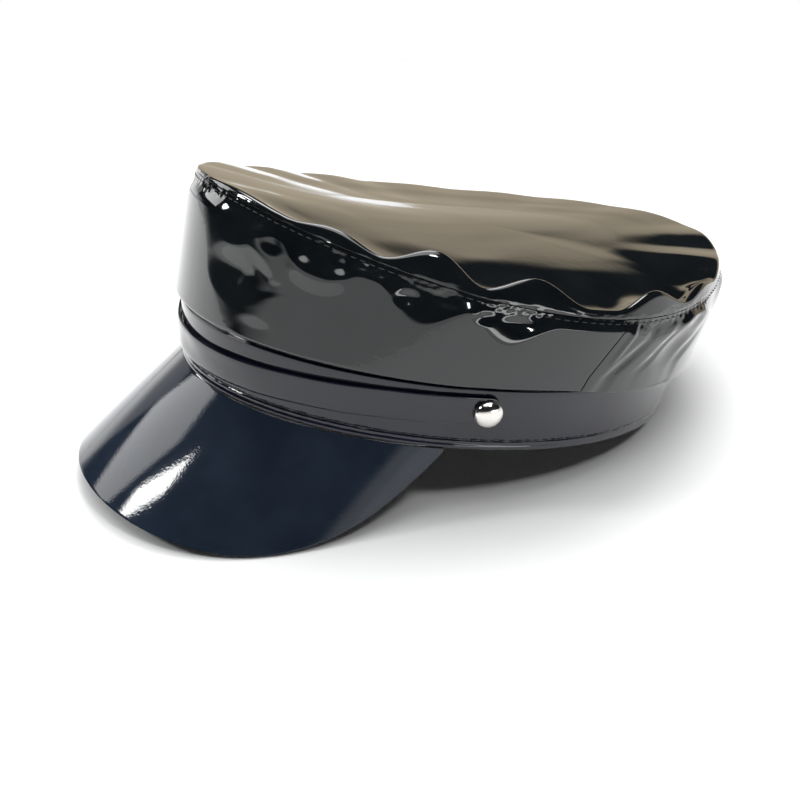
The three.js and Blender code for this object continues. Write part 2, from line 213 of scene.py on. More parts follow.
# Small dimples close under the seam, where the stitching draws the leather in
dimples = [
    {"at": 14, "level": 0.8, "reach": 5, "tall": 0.12, "deep": 0.5},
    {"at": 24, "level": 0.84, "reach": 4, "tall": 0.12, "deep": 0.6},
    {"at": 34, "level": 0.76, "reach": 8, "tall": 0.2, "deep": -1.2},
    {"at": 31, "level": 0.85, "reach": 3, "tall": 0.08, "deep": 0.8},
    {"at": 38.5, "level": 0.86, "reach": 2.6, "tall": 0.08, "deep": 0.8},
    {"at": 51.5, "level": 0.8, "reach": 3.2, "tall": 0.1, "deep": 0.9},
    {"at": 58, "level": 0.88, "reach": 4, "tall": 0.1, "deep": 0.5},
    {"at": 65.5, "level": 0.82, "reach": 2.6, "tall": 0.09, "deep": 0.7},
    {"at": 72, "level": 0.82, "reach": 4, "tall": 0.09, "deep": 0.9},
    {"at": 118, "level": 0.82, "reach": 5, "tall": 0.16, "deep": 0.8},
    {"at": 158, "level": 0.84, "reach": 5, "tall": 0.14, "deep": 0.7},
    {"at": 205, "level": 0.82, "reach": 5, "tall": 0.14, "deep": 0.8},
    {"at": 242, "level": 0.84, "reach": 4, "tall": 0.14, "deep": 0.7},
    {"at": 276, "level": 0.8, "reach": 4, "tall": 0.14, "deep": 0.8},
    {"at": 296, "level": 0.84, "reach": 4, "tall": 0.12, "deep": 0.7},
    {"at": 322, "level": 0.82, "reach": 4, "tall": 0.12, "deep": 0.7},
]

# Creases that run slanting over the side wall: the middle, the slant up to the right, half length, half
# width and depth
side_creases = [
    {"at": 22, "level": 0.62, "slant": -30, "long": 12, "wide": 3.4, "deep": 0.18},
    {"at": 27, "level": 0.5, "slant": 20, "long": 10, "wide": 3.2, "deep": 0.15},
    {"at": 19, "level": 0.42, "slant": 65, "long": 10, "wide": 3.4, "deep": 0.15},
    {"at": 97, "level": 0.42, "slant": 50, "long": 20, "wide": 3.4, "deep": 0.7},
    {"at": 107, "level": 0.58, "slant": 42, "long": 18, "wide": 3.0, "deep": 0.6},
    {"at": 119, "level": 0.4, "slant": 34, "long": 16, "wide": 4.0, "deep": 0.6},
    {"at": 172, "level": 0.6, "slant": -40, "long": 18, "wide": 3.4, "deep": 0.5},
    {"at": 198, "level": 0.5, "slant": 46, "long": 20, "wide": 3.6, "deep": 0.6},
    {"at": 254, "level": 0.56, "slant": -48, "long": 18, "wide": 3.2, "deep": 0.6},
    {"at": 268, "level": 0.42, "slant": -38, "long": 18, "wide": 3.6, "deep": 0.5},
    {"at": 325, "level": 0.6, "slant": 30, "long": 10, "wide": 2.8, "deep": 0.3},
    {"at": 345, "level": 0.5, "slant": -40, "long": 10, "wide": 2.8, "deep": 0.3},
]

belly_front = 2.2
belly_back = 3.6
# The wall bellies out just above the band: in how small a share of its height, at the back and in front
belly_foot = 0.12
belly_tuck = 0.045
tuck_start = 60
tuck_fade = 45
# At the back the belly sags over the band.
foot_sag = 5
sag_start = 75
sag_full = 112

# Long shallow folds in the flat of the top: the middle, the turn from front-to-back, half length, half width
top_folds = [
    {"x": 38, "y": -30, "turn": 18, "long": 60, "wide": 11, "deep": 0.25},
    {"x": 52, "y": 22, "turn": 4, "long": 46, "wide": 9, "deep": -0.25},
    {"x": 20, "y": 8, "turn": 12, "long": 80, "wide": 9, "deep": 0.17},
    {"x": -4, "y": -36, "turn": 8, "long": 60, "wide": 10, "deep": -0.1},
    {"x": -24, "y": 20, "turn": -6, "long": 70, "wide": 12, "deep": 0.1},
    {"x": -46, "y": -6, "turn": -12, "long": 60, "wide": 9, "deep": -0.07},
    {"x": 10, "y": 66, "turn": 30, "long": 40, "wide": 12, "deep": 0.25},
    {"x": -30, "y": 78, "turn": -28, "long": 34, "wide": 10, "deep": -0.25},
]

# Fineness of the pieces
crown_columns = 880
side_rows = 72
top_columns = 520
top_rows = 92
band_columns = 720
peak_columns = 200
peak_rows = 60
strap_columns = 300
strap_rows = 24


# Shapes

def smooth(share):
    t = np.clip(share, 0, 1)
    return t * t * (3 - 2 * t)


def hump(distance):
    """A soft hump: 1 in the middle, 0 from a distance of 1 on."""
    return (1 + np.cos(np.pi * np.clip(np.abs(distance), 0, 1))) / 2


def apart(angle, other):
    return (angle - other + 180) % 360 - 180


def flowing(knots, values, at):
    """A smooth curve through the values at the knots."""
    slopes = np.gradient(values, knots)
    i = np.clip(np.searchsorted(knots, at, side="right") - 1, 0, len(knots) - 2)
    step = knots[i + 1] - knots[i]
    t = (at - knots[i]) / step
    from_left = (1 + 2 * t) * (1 - t) ** 2 * values[i] + t * (1 - t) ** 2 * step * slopes[i]
    from_right = t * t * (3 - 2 * t) * values[i + 1] + t * t * (t - 1) * step * slopes[i + 1]
    return from_left + from_right


creases = np.random.default_rng(11).uniform(-1, 1, (64, 64))


def crinkle(across, along):
    """Uneven little swellings of leather, about one to a unit, between -1 and 1."""
    i = np.floor(across).astype(int)
    j = np.floor(along).astype(int)
    s = smooth(across - i)
    t = smooth(along - j)
    low = creases[i % 64, j % 64] * (1 - s) + creases[(i + 1) % 64, j % 64] * s
    high = creases[i % 64, (j + 1) % 64] * (1 - s) + creases[(i + 1) % 64, (j + 1) % 64] * s
    return low * (1 - t) + high * t


def points_of(x, y, z):
    return np.stack(np.broadcast_arrays(x, y, z), axis=-1)


def outward(angle):
    """The level direction straight out of the head's oval."""
    a = np.radians(angle)
    along_x = head_half_width * (np.cos(a) - head_narrow_front * np.cos(2 * a))
    along_y = head_half_length * np.sin(a)
    length = np.hypot(along_x, along_y)
    return points_of(along_y / length, -along_x / length, 0 * length)


def band_point(angle, height):
    a = np.radians(angle)
    grow = 1 + band_flare * height / band_height
    x = head_half_width * grow * (1 - head_narrow_front * np.cos(a)) * np.sin(a)
    return points_of(x, -head_half_length * grow * np.cos(a), height)


def band_normal(angle):
    lean = band_flare * head_half_width / band_height
    normal = outward(angle)
    normal[..., 2] = -lean
    return normal / math.hypot(1, lean)


def seam_point(angle):
    a = np.radians(angle)
    pinch = 1 - seam_pinch * np.sin(2 * a) ** 2
    y = seam_set_back - seam_half_length * pinch * np.cos(a)
    height = seam_mid_height + seam_slope * y + seam_saddle * y * y
    return points_of(seam_half_width * pinch * np.sin(a), y, height)


def puff_height(angle):
    side = np.sin(np.radians(angle)) ** 2
    base = puff_base_calm + (puff_base_puffed - puff_base_calm) * puffed_share(angle)
    height = puff_base_ends + (base - puff_base_ends) * side
    for puff in puffs:
        height = height + puff["rise"] * hump(apart(angle, puff["at"]) / puff["reach"])
    return height


def fold_depth(x, y):
    depth = 0 * x
    for fold in top_folds:
        turn = math.radians(fold["turn"])
        across = (x - fold["x"]) * math.cos(turn) + (y - fold["y"]) * math.sin(turn)
        along = (y - fold["y"]) * math.cos(turn) - (x - fold["x"]) * math.sin(turn)
        depth += fold["deep"] * hump(along / fold["long"]) * hump(across / fold["wide"])
    return depth


def pucker(angle, from_seam):
    """Little swellings between the stitches, which die out away from the seam line."""
    around = np.radians(angle) * head_half_length / stitch_pitch
    beat = 0.5 + 0.5 * np.cos(2 * np.pi * around)
    uneven = 0.55 + 0.45 * crinkle(around / 2.3, 0.3 + 0 * around)
    small = crinkle(around * 1.7, from_seam) * hump(from_seam / 3.2)
    return beat * uneven * hump(from_seam / 2.2) + 0.5 * small


def puffed_share(angle):
    return smooth((puffed_reach + puffed_fade - np.abs(apart(angle, puffed_at))) / puffed_fade)


def edge_share(angle, left):
    """The share of the edge's height that is left at a share of the way out from the middle."""
    side = np.sin(np.radians(angle)) ** 2
    power = top_bowl_calm + (top_bowl_puffed - top_bowl_calm) * puffed_share(angle) * side
    middle = top_bowl_soft ** (power / 2)
    edge = (1 + top_bowl_soft) ** (power / 2)
    return ((left * left + top_bowl_soft) ** (power / 2) - middle) / (edge - middle)


def top_surface(u, v):
    angle = 360 * u
    rows = {key: np.array([row[key] for row in top_section]) for key in top_section[0]}
    knots = rows["row"]
    inward, lean, puffed, calm = (flowing(knots, rows[key], np.minimum(v, knots[-1]))
                                  for key in ("inward", "lean", "puffed", "calm"))
    share = calm + (puffed - calm) * puffed_share(angle)
    seam = seam_point(angle)
    radius = np.hypot(seam[..., 0], seam[..., 1] - seam_set_back)
    puff = puff_height(angle)
    to_middle = np.clip((v - knots[-1]) / (1 - knots[-1]), 0, 1)
    left = (1 - (inward + lean * puff) / radius) * (1 - to_middle)
    x = seam[..., 0] * left
    y = seam_set_back + (seam[..., 1] - seam_set_back) * left
    carried = edge_share(angle, left)
    z = seam[..., 2] * carried + top_centre_height * (1 - carried) + gap + share * puff
    climbed = smooth((inward - top_dip_start) / (top_dip_end - top_dip_start))
    dip = smooth(inward / top_dip_foot) * (1 - climbed)
    z = z - top_dip * dip * puffed_share(angle) * np.sin(np.radians(angle)) ** 2
    z = z - fold_depth(x, y) * smooth((inward - 4) / 16)
    above = share * puff
    puckered = top_pucker * pucker(angle, above) * (v < 0.3)
    return points_of(x, y, z) + outward(angle) * puckered[..., None]


def belly_depth(angle):
    return belly_front + (belly_back - belly_front) * (1 - np.cos(np.radians(angle))) / 2


def knee_of(angle):
    knee = knee_level + 0 * angle
    for lobe in lobes:
        knee = knee - lobe["drop"] * hump(apart(angle, lobe["at"]) / lobe["reach"])
    return knee


def dent_depth(angle, level, table):
    depth = 0 * angle
    for dent in table:
        across = apart(angle, dent["at"]) / dent["reach"]
        depth = depth + dent["deep"] * hump(np.hypot(across, (level - dent["level"]) / dent["tall"]))
    return depth


def crease_depth(angle, level, rise):
    depth = 0 * angle
    for crease in side_creases:
        around = np.radians(apart(angle, crease["at"])) * head_half_length
        up = (level - crease["level"]) * rise
        slant = math.radians(crease["slant"])
        along = around * math.cos(slant) + up * math.sin(slant)
        across = up * math.cos(slant) - around * math.sin(slant)
        depth = depth + crease["deep"] * hump(along / crease["long"]) * hump(across / crease["wide"])
    return depth


def side_point(angle, level):
    """A point of the side wall, from the band at level 0 to the seam at level 1."""
    foot = band_point(angle, band_height + 0 * angle)
    foot[..., 2] += gap
    seam = seam_point(angle)
    point = foot + (seam - foot) * level[..., None]
    knee = knee_of(angle)
    from_front = np.abs(apart(angle, 0))
    tuck = belly_tuck + (belly_foot - belly_tuck) * smooth((from_front - tuck_start) / tuck_fade)
    swell = smooth(level / tuck) * (1 - smooth((level - knee) / (1 - knee)))
    stand = belly_depth(angle) * swell - dent_depth(angle, level, dents) - dent_depth(angle, level, dimples)
    rise = seam[..., 2] - foot[..., 2]
    from_seam = (1 - level) * rise
    stand = stand - crease_depth(angle, level, rise) * smooth(level / 0.1)
    stand = stand + side_pucker * pucker(angle, from_seam - 1.0) * smooth(from_seam / 0.6)
    sag = foot_sag * smooth((from_front - sag_start) / (sag_full - sag_start))
    point[..., 2] -= sag * hump((level - belly_foot) / belly_foot)
    return point + outward(angle) * stand[..., None]


def seam_angle(level):
    return side_seam_foot + (side_seam_top - side_seam_foot) * level


half_side_gap = math.degrees(side_seam_gap / 2 / head_half_length)


def front_panel_surface(u, v):
    edge = seam_angle(v) - half_side_gap
    return side_point(edge * (2 * u - 1), v)


def rear_panel_surface(u, v):
    edge = seam_angle(v) + half_side_gap
    angle = edge + (360 - 2 * edge) * u
    point = side_point(angle, v)
    from_edge = np.minimum(angle - edge, 360 - edge - angle) * math.radians(head_half_length)
    ridge = seam_ridge * hump((from_edge - seam_ridge_off) / seam_ridge_half)
    ridge = ridge * smooth((v - 0.3) / 0.3) * smooth((0.97 - v) / 0.1)
    return point + outward(angle) * ridge[..., None]


def band_outline():
    """The band's wall: up the outer face, over the upper edge, down inside and under the lower edge."""
    low = 1.0
    heights = np.concatenate([np.linspace(low, 6, 22), np.linspace(6.8, band_height - edge_round, 14)])
    groove = hem_groove * hump((heights - hem_line) / 0.8)
    roll = hem_roll * hump((heights - low) / 1.6)
    outer = [(r - g, h) for r, g, h in zip(roll, groove, heights)]
    turn = np.linspace(0, math.pi, 9)[1:-1]
    half = band_wall / 2
    over = [(half * math.cos(t) - half, band_height - edge_round + edge_round * math.sin(t)) for t in turn]
    inner = [(-band_wall, h) for h in np.linspace(band_height - edge_round, low, 8)]
    wide = (band_wall + hem_roll) / 2
    under = [(hem_roll - wide - wide * math.cos(t), low - low * math.sin(t)) for t in turn]
    return np.array(outer + over + inner + under)


def band_surface(u, v):
    outline = band_outline()
    count = len(outline)
    index = np.round(v * count).astype(int) % count
    out, up = outline[index, 0], outline[index, 1]
    angle = 360 * u
    outer_face = (out > -0.6) & (up < 7)
    from_front = np.abs(apart(angle, 8))
    sewn = hump((up - hem_line - 0.2) / 2) * (0.35 + 0.65 * smooth((82 - from_front) / 14))
    around = np.radians(angle) * head_half_length
    crumpled = crinkle(around / 1.1, up / 1.3) + 0.7 * crinkle(around / 2.6 + 9, up / 2)
    out = out + np.where(outer_face, hem_crumple * sewn * crumpled, 0)
    point = band_point(angle, up) + outward(angle) * out[..., None]
    point[..., 2] = np.maximum(point[..., 2], table_height(point[..., 1]))
    return point


def strap_surface(u, v):
    end_angle = button_angle + math.degrees(strap_tail / head_half_length)
    half_width = strap_width / 2
    angle = end_angle * np.sin(np.pi / 2 * (2 * u - 1))
    climb = smooth(np.abs(angle) / (button_angle + 2))
    middle = strap_front_height + (strap_button_height - strap_front_height) * climb
    to_tip = np.radians(end_angle - np.abs(angle)) * head_half_length
    cut = 1 - np.minimum(to_tip / half_width, 1)
    half = half_width * np.maximum(np.sqrt(np.maximum(1 - cut * cut, 0)), 0.08)
    across = 2 * v - 1
    lift = gap + strap_edge + (strap_thick - strap_edge) * (1 - across ** 10)
    loose = smooth((button_angle - 6 - np.abs(angle)) / 12)
    lift = lift + strap_wave * crinkle(angle / 9 + 4, across * 0.8 + 2) * loose
    return band_point(angle, middle + half * across) + band_normal(angle) * lift[..., None]


def peak_surface(u, v):
    angle = peak_end_angle * (1 - 2 * u)
    to_end = np.abs(angle) / peak_end_angle
    slope = np.radians(peak_slope_front + (peak_slope_end - peak_slope_front) * to_end ** 2)
    length = peak_end_length + peak_length * (1 - to_end ** peak_taper)
    out = np.cos(slope) * length * v
    bulge = peak_bulge * 4 * v * (1 - v) * length / (peak_end_length + peak_length)
    out = out + np.sin(slope) * bulge
    point = band_point(angle, 0 * angle) + outward(angle) * out[..., None]
    point[..., 2] += np.cos(slope) * bulge - np.sin(slope) * length * v - gap
    return point


# The cap as it lies on the table

def resting_tilt():
    """The tilt at which the rim of the peak and the back of the band touch one table."""
    angle = np.arange(0, peak_end_angle, 0.5)
    share = 1 - angle / peak_end_angle
    rim = peak_surface(share / 2, 1 + 0 * share)
    to_end = angle / peak_end_angle
    slope = np.radians(peak_slope_front + (peak_slope_end - peak_slope_front) * to_end ** 2)
    rim = rim - outward(angle) * (np.sin(slope) * peak_board)[..., None]
    rim[..., 2] -= np.cos(slope) * peak_board
    back_y = head_half_length - edge_round
    return float(np.max(np.arctan2(rest_flat - rim[..., 2], back_y - rim[..., 1])))


tilt = resting_tilt()


def table_height(y):
    """The height of the table under the back of the band, in the cap's own frame."""
    return rest_flat + (y - head_half_length + edge_round) * math.tan(tilt)


def turned(points):
    c, s = math.cos(tilt), math.sin(tilt)
    x, y, z = points[..., 0], points[..., 1], points[..., 2]
    return np.stack([x, y * c + z * s, z * c - y * s], axis=-1)


# The band's upper edge reaches furthest back and highest at its two ends, and so gives the cap's place.
back_reach = turned(band_point(np.array([180.0]), np.array([band_height - edge_round])))[0, 1] * MM
front_edge = band_point(np.array([0.0]), np.array([band_height]))
front_edge[0, 1] += edge_round
front_reach = turned(front_edge)[0, 2] * MM
band_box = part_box("band")
cap_origin = np.array([0, band_box[1][1] - back_reach, band_box[1][2] - front_reach])


def laid(points):
    return turned(points) * MM + cap_origin


# Making pieces

def deselect():
    if bpy.context.object and bpy.context.object.mode != "OBJECT":
        bpy.ops.object.mode_set(mode="OBJECT")
    bpy.ops.object.select_all(action="DESELECT")


def leather_sheet(name, columns, rows, surface):
    """A flat grid of one unit, shaped into a surface of the cap."""
    deselect()
    bpy.ops.mesh.primitive_grid_add(x_subdivisions=columns, y_subdivisions=rows, size=1,
                                    location=(0.5, 0.5, 0))
    bpy.ops.object.transform_apply(location=True, rotation=False, scale=False)
    sheet = bpy.context.object
    sheet.name = name
    flat = np.empty(len(sheet.data.vertices) * 3)
    sheet.data.vertices.foreach_get("co", flat)
    flat = flat.reshape(-1, 3)
    shaped = laid(surface(np.clip(flat[:, 0], 0, 1), np.clip(flat[:, 1], 0, 1)))
    sheet.data.vertices.foreach_set("co", shaped.ravel())
    sheet.data.update()
    return sheet


def close_round(piece):
    """Joins the two ends of a ring, and the points that meet in a pole."""
    bpy.ops.object.mode_set(mode="EDIT")
    bpy.ops.mesh.select_all(action="SELECT")
    bpy.ops.mesh.remove_doubles(threshold=0.01 * MM)
    bpy.ops.object.mode_set(mode="OBJECT")


def give_thickness(piece, thickness, backing=0):
    bpy.ops.object.modifier_add(type="SOLIDIFY")
    wall = piece.modifiers[-1]
    wall.thickness = thickness * MM
    wall.offset = -1
    wall.use_even_offset = False
    wall.material_offset = backing
    bpy.ops.object.modifier_apply(modifier=wall.name)


def round_edges(piece, radius, segments=3):
    bpy.ops.object.modifier_add(type="BEVEL")
    bevel = piece.modifiers[-1]
    bevel.width = radius * MM
    bevel.segments = segments
    bevel.limit_method = "ANGLE"
    bevel.angle_limit = math.radians(60)
    bpy.ops.object.modifier_apply(modifier=bevel.name)


def finished(piece, slot, *nodes):
    bpy.ops.object.shade_smooth()
    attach(piece, "root")
    if nodes:
        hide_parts(*nodes)


# Finishes

def new_finish(name):
    finish = bpy.data.materials.new(name)
    finish.use_nodes = True
    nodes = finish.node_tree.nodes
    return finish, nodes, finish.node_tree.links, nodes["Principled BSDF"]


def grain(nodes, links, scale, detail, source):
    noise = nodes.new("ShaderNodeTexNoise")
    noise.inputs["Scale"].default_value = scale
    noise.inputs["Detail"].default_value = detail
    links.new(source, noise.inputs["Vector"])
    return noise.outputs["Fac"]


def between(nodes, links, factor, low, high):
    """Two tones, mixed by a pattern."""
    ramp = nodes.new("ShaderNodeValToRGB")
    ramp.color_ramp.elements[0].position = 0.35
    ramp.color_ramp.elements[0].color = (*low, 1)
    ramp.color_ramp.elements[1].position = 0.65
    ramp.color_ramp.elements[1].color = (*high, 1)
    links.new(factor, ramp.inputs["Fac"])
    return ramp.outputs["Color"]


def raised(nodes, links, height, depth, under=None):
    bump = nodes.new("ShaderNodeBump")
    bump.inputs["Strength"].default_value = 1
    bump.inputs["Distance"].default_value = depth
    links.new(height, bump.inputs["Height"])
    if under is not None:
        links.new(under, bump.inputs["Normal"])
    return bump.outputs["Normal"]


def patent_leather(name, dark, light, pebble_depth, pebble_scale, under_gloss, coat_roughness):
    """Coated leather: a near-black base under a clear gloss, with the base cloth's grain faintly showing."""
    finish, nodes, links, shader = new_finish(name)
    place = nodes.new("ShaderNodeTexCoord").outputs["Object"]
    shade = grain(nodes, links, 38, 3, place)
    links.new(between(nodes, links, shade, dark, light), shader.inputs["Base Color"])
    smudges = grain(nodes, links, 24, 5, place)
    gloss = nodes.new("ShaderNodeMapRange")
    gloss.inputs["From Min"].default_value = 0.3
    gloss.inputs["From Max"].default_value = 0.75
    gloss.inputs["To Min"].default_value = 0.05
    gloss.inputs["To Max"].default_value = 0.13
    links.new(smudges, gloss.inputs["Value"])
    links.new(gloss.outputs["Result"], shader.inputs["Roughness"])
    pebbles = raised(nodes, links, grain(nodes, links, pebble_scale, 2, place), pebble_depth)
    links.new(pebbles, shader.inputs["Normal"])
    links.new(pebbles, shader.inputs["Coat Normal"])
    shader.inputs["Coat Weight"].default_value = 1
    shader.inputs["Coat Roughness"].default_value = coat_roughness
    shader.inputs["Coat IOR"].default_value = 1.45
    shader.inputs["Specular IOR Level"].default_value = under_gloss
    return finish


def backing_cloth():
    """The matte knit on the inside of the leather."""
    finish, nodes, links, shader = new_finish("knit backing of the leather")
    place = nodes.new("ShaderNodeTexCoord").outputs["Object"]
    fuzz = grain(nodes, links, 900, 2, place)
    tones = between(nodes, links, fuzz, (0.012, 0.012, 0.013), (0.03, 0.03, 0.032))
    links.new(tones, shader.inputs["Base Color"])
    links.new(raised(nodes, links, fuzz, 0.0003), shader.inputs["Normal"])
    shader.inputs["Roughness"].default_value = 0.9
    shader.inputs["Specular IOR Level"].default_value = 0.2
    return finish


def sewing_thread():
    finish, nodes, links, shader = new_finish("black sewing thread")
    place = nodes.new("ShaderNodeTexCoord").outputs["Object"]
    twist = nodes.new("ShaderNodeTexWave")
    twist.inputs["Scale"].default_value = 1400
    twist.inputs["Distortion"].default_value = 2
    links.new(place, twist.inputs["Vector"])
    tones = between(nodes, links, twist.outputs["Fac"], (0.008, 0.008, 0.009), (0.03, 0.03, 0.032))
    links.new(tones, shader.inputs["Base Color"])
    links.new(raised(nodes, links, twist.outputs["Fac"], 0.00008), shader.inputs["Normal"])
    shader.inputs["Roughness"].default_value = 0.4
    return finish


def polished_silver():
    finish, nodes, links, shader = new_finish("polished silver of the buttons")
    place = nodes.new("ShaderNodeTexCoord").outputs["Object"]
    tarnish = grain(nodes, links, 260, 4, place)
    tones = between(nodes, links, tarnish, (0.74, 0.72, 0.68), (0.83, 0.81, 0.78))
    links.new(tones, shader.inputs["Base Color"])
    rub = nodes.new("ShaderNodeMapRange")
    rub.inputs["To Min"].default_value = 0.08
    rub.inputs["To Max"].default_value = 0.2
    links.new(grain(nodes, links, 900, 3, place), rub.inputs["Value"])
    links.new(rub.outputs["Result"], shader.inputs["Roughness"])
    shader.inputs["Metallic"].default_value = 1
    return finish


crown_leather = patent_leather("black patent leather of the crown",
                               dark=(0.003, 0.004, 0.005), light=(0.006, 0.008, 0.009),
                               pebble_depth=0.000015, pebble_scale=260,
                               under_gloss=0.35, coat_roughness=0.03)
band_leather = patent_leather("black patent leather of the band",
                              dark=(0.004, 0.005, 0.011), light=(0.008, 0.009, 0.02),
                              pebble_depth=0.00002, pebble_scale=300,
                              under_gloss=0.15, coat_roughness=0.03)
peak_leather = patent_leather("blue-black patent leather of the peak",
                              dark=(0.009, 0.014, 0.024), light=(0.014, 0.021, 0.034),
                              pebble_depth=0.00002, pebble_scale=1200,
                              under_gloss=0.05, coat_roughness=0.055)
knit_backing = backing_cloth()
thread = sewing_thread()
silver = polished_silver()


def dress(piece, *finishes):
    for finish in finishes:
        piece.data.materials.append(finish)


# Crown
crown_top = leather_sheet("puffed_crown_top", top_columns, top_rows, top_surface)
close_round(crown_top)
dress(crown_top, crown_leather, knit_backing)
give_thickness(crown_top, leather, backing=1)
finished(crown_top, "crown_leather", "crown_top")

for panel_name, surface, columns, node in (
    ("front_side_panel", front_panel_surface, crown_columns // 2, "crown_side_front"),
    ("rear_side_panel", rear_panel_surface, crown_columns // 2, "crown_side_rear"),
):
    panel = leather_sheet(panel_name, columns, side_rows, surface)
    dress(panel, crown_leather, knit_backing)
    give_thickness(panel, leather, backing=1)
    round_edges(panel, 0.4)
    finished(panel, "crown_leather", node)

# Band
headband = leather_sheet("headband", band_columns, len(band_outline()), band_surface)
close_round(headband)
dress(headband, band_leather)
finished(headband, "band_leather", "band")

# Stitches

def along_crown_seam(angle):
    """The stitched line on the side wall, just under the seam."""
    rise = seam_point(angle)[..., 2] - band_height - gap
    return side_point(angle, 1 - seam_stitch_drop / rise)


def along_hem(angle):
    """The stitched line in the groove above the band's lower edge."""
    return band_point(angle, hem_line + 0 * angle) - outward(angle) * hem_groove


def row_of_stitches(name, line, count):
    """One plump stitch, repeated by an array and then laid along a line round the cap."""
    deselect()
    bpy.ops.mesh.primitive_uv_sphere_add(segments=8, ring_count=6, radius=0.5, location=(0, 0, 0))
    row = bpy.context.object
    row.name = name
    bpy.ops.object.mode_set(mode="EDIT")
    bpy.ops.mesh.select_all(action="SELECT")
    bpy.ops.transform.resize(value=(stitch_length / stitch_pitch, 1, 1), center_override=(0, 0, 0))
    bpy.ops.object.mode_set(mode="OBJECT")
    bpy.ops.object.modifier_add(type="ARRAY")
    repeat = row.modifiers[-1]
    repeat.count = count
    repeat.use_relative_offset = False
    repeat.use_constant_offset = True
    repeat.constant_offset_displace = (1, 0, 0)
    bpy.ops.object.modifier_apply(modifier=repeat.name)
    flat = np.empty(len(row.data.vertices) * 3)
    row.data.vertices.foreach_get("co", flat)
    flat = flat.reshape(-1, 3)
    angle = 360 * flat[:, 0] / count
    middle = line(angle)
    onward = line(angle + 0.05) - line(angle - 0.05)
    onward /= np.linalg.norm(onward, axis=-1, keepdims=True)
    out = outward(angle)
    out -= onward * np.sum(out * onward, axis=-1, keepdims=True)
    across = np.cross(out, onward)
    shaped = middle + across * flat[:, 1:2] * thread_thick
    shaped = shaped + out * (flat[:, 2:3] * thread_thick + thread_proud)
    row.data.vertices.foreach_set("co", laid(shaped).ravel())
    row.data.update()
    dress(row, thread)
    finished(row, "crown_leather" if line is along_crown_seam else "band_leather")


row_of_stitches("stitches_of_the_crown_seam", along_crown_seam, crown_seam_stitches)
row_of_stitches("stitches_of_the_hem", along_hem, hem_stitches)

# Strap
front_strap = leather_sheet("front_strap", strap_columns, strap_rows, strap_surface)
dress(front_strap, band_leather)
give_thickness(front_strap, strap_edge)
round_edges(front_strap, 0.25)
finished(front_strap, "strap_leather", "strap")

# Peak
curved_peak = leather_sheet("curved_peak", peak_columns, peak_rows, peak_surface)
dress(curved_peak, peak_leather)
give_thickness(curved_peak, peak_board)
round_edges(curved_peak, 0.6)
finished(curved_peak, "peak_leather", "peak")


# Buttons

def silver_button(name, angle, node):
    """A low dome on a short foot, its axis straight out of the band's face."""
    out = band_normal(np.array([float(angle)]))
    foot = band_point(np.array([float(angle)]), np.array([strap_button_height]))
    foot = foot + out * (strap_thick + 2 * gap)
    place = Vector(laid(foot)[0])
    axis = Vector((laid(foot + out) - laid(foot))[0]).normalized()
    deselect()
    bpy.ops.mesh.primitive_uv_sphere_add(segments=64, ring_count=32, radius=1, location=(0, 0, 0))
    dome = bpy.context.object
    dome.name = name
    bpy.ops.object.mode_set(mode="EDIT")
    bpy.ops.mesh.select_all(action="SELECT")
    bpy.ops.mesh.bisect(plane_co=(0, 0, 0), plane_no=(0, 0, 1), use_fill=True, clear_inner=True)
    bpy.ops.mesh.select_all(action="SELECT")
    wide = button_radius * MM
    tall = (button_height - button_foot) * MM
    bpy.ops.transform.resize(value=(wide, wide, tall), center_override=(0, 0, 0))
    bpy.ops.transform.translate(value=(0, 0, button_foot * MM))
    bpy.ops.mesh.select_all(action="DESELECT")
    bpy.ops.object.mode_set(mode="OBJECT")
    for face in dome.data.polygons:
        face.select = face.normal.z < -0.9
    bpy.ops.object.mode_set(mode="EDIT")
    bpy.ops.mesh.extrude_region_move(TRANSFORM_OT_translate={"value": (0, 0, -button_foot * MM)})
    bpy.ops.transform.resize(value=(0.92, 0.92, 1), center_override=(0, 0, 0))
    bpy.ops.object.mode_set(mode="OBJECT")
    round_edges(dome, 0.25)
    dome.data.transform(Matrix.Translation(place) @ axis.to_track_quat("Z", "Y").to_matrix().to_4x4())
    dress(dome, silver)
    finished(dome, "button_metal", node)


silver_button("silver_button_left", button_angle, "button_left")
silver_button("silver_button_right", -button_angle, "button_right")

# Studio: a pale table, soft panels round it, and a camera at the photograph's angle

camera_turn = math.radians(58.15)
camera_rise = math.radians(26.62)
camera_roll = math.radians(0.33)
camera_distance = 0.42
table_size = 1.3

# The panels round the cap: turn, rise and lean in degrees, distance, width and height in metres, and
# power in watts
panels = [
    {"name": "bright strip in front", "turn": -18, "rise": 38.5, "distance": 1.2,
     "wide": 0.12, "tall": 0.27, "power": 3, "lean": -42},
    {"name": "grey panel at the left", "turn": -50, "rise": 32, "distance": 1.4,
     "wide": 0.7, "tall": 0.55, "power": 4.4, "lean": 0},
    {"name": "dim panel further left", "turn": -80, "rise": 12, "distance": 1.4,
     "wide": 0.7, "tall": 0.6, "power": 0.7, "lean": 0},
    {"name": "small bright panel at the right", "turn": 95, "rise": 55, "distance": 2.0,
     "wide": 0.25, "tall": 0.25, "power": 8, "lean": 0},
    {"name": "low panel at the right", "turn": 105, "rise": 7, "distance": 1.5,
     "wide": 1.0, "tall": 0.16, "power": 2, "lean": 0},
    {"name": "large panel above", "turn": 58, "rise": 80, "distance": 2.2,
     "wide": 1.6, "tall": 1.6, "power": 7, "lean": 0},
]

# The brightness of the room's parts
dim_room = (0.012, 0.013, 0.015)
skyline = (0.95, 0.95, 0.95)
warm_wall = (0.5, 0.43, 0.32)
overhead_glow = (2.2, 2.2, 2.2)
glow_behind = (7, 7, 7)
pale_floor = (1, 1, 1)


